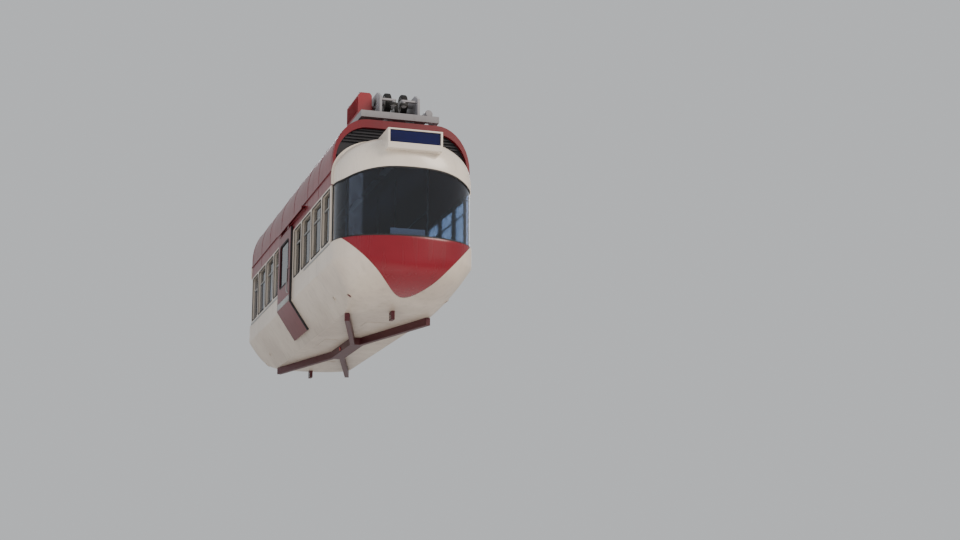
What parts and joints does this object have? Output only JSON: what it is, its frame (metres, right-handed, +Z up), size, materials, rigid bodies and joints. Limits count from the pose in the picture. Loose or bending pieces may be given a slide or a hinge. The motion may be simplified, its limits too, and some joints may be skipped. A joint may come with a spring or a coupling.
{
  "type": "suspended monorail car",
  "caption": "Double-ended suspended monorail car: rounded glazed noses, red roof, ivory body, sliding doors, rubber-tyred bogies on top that run on a beam's lower flange.",
  "frame": {"origin": "where the load wheels bear on the track's lower flange, on the centre line, midway between the two bogies", "axes": "+Y along the car from its front end to its rear, +X to the car's own left side, +Z up"},
  "size_m": [2.656, 10.12, 4.18],
  "materials": {
    "roof_red": "semi-gloss",
    "body_ivory": "semi-gloss",
    "visor_ivory": "semi-gloss",
    "chin_red": "semi-gloss",
    "door_red": "semi-gloss",
    "drive_red": "satin",
    "keel_maroon": "satin",
    "bogie_steel": "satin",
    "intake_dark": "matt",
    "desk_grey_blue": "matt",
    "floor_lino": "matt",
    "seat_cloth": "woven",
    "screen_glass": "tinted, glossy",
    "side_glass": "tinted, glossy",
    "sign_glass": "dark, glossy",
    "load_tyre": "matt",
    "guide_tyre": "matt"
  },
  "bodies": {
    "car": {"roof_shell": "roof_red", "lower_shell": "body_ivory", "floor_deck": "floor_lino", "under_keel": "keel_maroon", "wall_left": "body_ivory", "side_glass_left_front": "side_glass", "bench_left_front": "seat_cloth", "side_glass_left_rear": "side_glass", "bench_left_rear": "seat_cloth", "wall_right": "body_ivory", "side_glass_right_front": "side_glass", "bench_right_front": "seat_cloth", "side_glass_right_rear": "side_glass", "bench_right_rear": "seat_cloth", "nose_shell_front": "body_ivory", "chin_panel_front": "chin_red", "visor_front": "visor_ivory", "windscreen_front": "screen_glass", "sign_glass_front": "sign_glass", "intake_front": "intake_dark", "cab_desk_front": "desk_grey_blue", "tow_lug_front": "keel_maroon", "nose_shell_rear": "body_ivory", "chin_panel_rear": "chin_red", "visor_rear": "visor_ivory", "windscreen_rear": "screen_glass", "sign_glass_rear": "sign_glass", "intake_rear": "intake_dark", "cab_desk_rear": "desk_grey_blue", "tow_lug_rear": "keel_maroon"},
    "door_left": {"door_leaf_left": "door_red", "door_glass_left": "side_glass"},
    "door_right": {"door_leaf_right": "door_red", "door_glass_right": "side_glass"},
    "bogie_front": {"bogie_frame_front": "bogie_steel", "drive_unit_front": "drive_red"},
    "load_front_1": {"load_wheel_front_1": "load_tyre"},
    "guide_front_1": {"guide_wheel_front_1": "guide_tyre"},
    "load_front_2": {"load_wheel_front_2": "load_tyre"},
    "guide_front_2": {"guide_wheel_front_2": "guide_tyre"},
    "load_front_3": {"load_wheel_front_3": "load_tyre"},
    "guide_front_3": {"guide_wheel_front_3": "guide_tyre"},
    "load_front_4": {"load_wheel_front_4": "load_tyre"},
    "guide_front_4": {"guide_wheel_front_4": "guide_tyre"},
    "bogie_rear": {"bogie_frame_rear": "bogie_steel", "drive_unit_rear": "drive_red"},
    "load_rear_1": {"load_wheel_rear_1": "load_tyre"},
    "guide_rear_1": {"guide_wheel_rear_1": "guide_tyre"},
    "load_rear_2": {"load_wheel_rear_2": "load_tyre"},
    "guide_rear_2": {"guide_wheel_rear_2": "guide_tyre"},
    "load_rear_3": {"load_wheel_rear_3": "load_tyre"},
    "guide_rear_3": {"guide_wheel_rear_3": "guide_tyre"},
    "load_rear_4": {"load_wheel_rear_4": "load_tyre"},
    "guide_rear_4": {"guide_wheel_rear_4": "guide_tyre"}
  },
  "joints": [
    {"name": "door_left_slide", "type": "slide", "parent": "car", "child": "door_left", "axis": [0, 1, 0], "range_m": [0, 1.15]},
    {"name": "door_right_slide", "type": "slide", "parent": "car", "child": "door_right", "axis": [0, -1, 0], "range_m": [0, 1.15]},
    {"name": "bogie_front_yaw", "type": "hinge", "parent": "car", "child": "bogie_front", "pos_m": [0, -3.3, 0], "axis": [0, 0, 1], "range_deg": [-12, 12]},
    {"name": "load_front_1_spin", "type": "hinge", "parent": "bogie_front", "child": "load_front_1", "pos_m": [-0.15, -3.56, 0.19], "axis": [1, 0, 0], "continuous": true},
    {"name": "guide_front_1_spin", "type": "hinge", "parent": "bogie_front", "child": "guide_front_1", "pos_m": [-0.095, -3.86, 0.09], "axis": [0, 0, 1], "continuous": true},
    {"name": "load_front_2_spin", "type": "hinge", "parent": "bogie_front", "child": "load_front_2", "pos_m": [0.15, -3.56, 0.19], "axis": [1, 0, 0], "continuous": true},
    {"name": "guide_front_2_spin", "type": "hinge", "parent": "bogie_front", "child": "guide_front_2", "pos_m": [0.095, -3.86, 0.09], "axis": [0, 0, 1], "continuous": true},
    {"name": "load_front_3_spin", "type": "hinge", "parent": "bogie_front", "child": "load_front_3", "pos_m": [-0.15, -3.04, 0.19], "axis": [1, 0, 0], "continuous": true},
    {"name": "guide_front_3_spin", "type": "hinge", "parent": "bogie_front", "child": "guide_front_3", "pos_m": [-0.095, -2.74, 0.09], "axis": [0, 0, 1], "continuous": true},
    {"name": "load_front_4_spin", "type": "hinge", "parent": "bogie_front", "child": "load_front_4", "pos_m": [0.15, -3.04, 0.19], "axis": [1, 0, 0], "continuous": true},
    {"name": "guide_front_4_spin", "type": "hinge", "parent": "bogie_front", "child": "guide_front_4", "pos_m": [0.095, -2.74, 0.09], "axis": [0, 0, 1], "continuous": true},
    {"name": "bogie_rear_yaw", "type": "hinge", "parent": "car", "child": "bogie_rear", "pos_m": [0, 3.3, 0], "axis": [0, 0, 1], "range_deg": [-12, 12]},
    {"name": "load_rear_1_spin", "type": "hinge", "parent": "bogie_rear", "child": "load_rear_1", "pos_m": [0.15, 3.56, 0.19], "axis": [1, 0, 0], "continuous": true},
    {"name": "guide_rear_1_spin", "type": "hinge", "parent": "bogie_rear", "child": "guide_rear_1", "pos_m": [0.095, 3.86, 0.09], "axis": [0, 0, 1], "continuous": true},
    {"name": "load_rear_2_spin", "type": "hinge", "parent": "bogie_rear", "child": "load_rear_2", "pos_m": [-0.15, 3.56, 0.19], "axis": [1, 0, 0], "continuous": true},
    {"name": "guide_rear_2_spin", "type": "hinge", "parent": "bogie_rear", "child": "guide_rear_2", "pos_m": [-0.095, 3.86, 0.09], "axis": [0, 0, 1], "continuous": true},
    {"name": "load_rear_3_spin", "type": "hinge", "parent": "bogie_rear", "child": "load_rear_3", "pos_m": [0.15, 3.04, 0.19], "axis": [1, 0, 0], "continuous": true},
    {"name": "guide_rear_3_spin", "type": "hinge", "parent": "bogie_rear", "child": "guide_rear_3", "pos_m": [0.095, 2.74, 0.09], "axis": [0, 0, 1], "continuous": true},
    {"name": "load_rear_4_spin", "type": "hinge", "parent": "bogie_rear", "child": "load_rear_4", "pos_m": [-0.15, 3.04, 0.19], "axis": [1, 0, 0], "continuous": true},
    {"name": "guide_rear_4_spin", "type": "hinge", "parent": "bogie_rear", "child": "guide_rear_4", "pos_m": [-0.095, 2.74, 0.09], "axis": [0, 0, 1], "continuous": true}
  ]
}
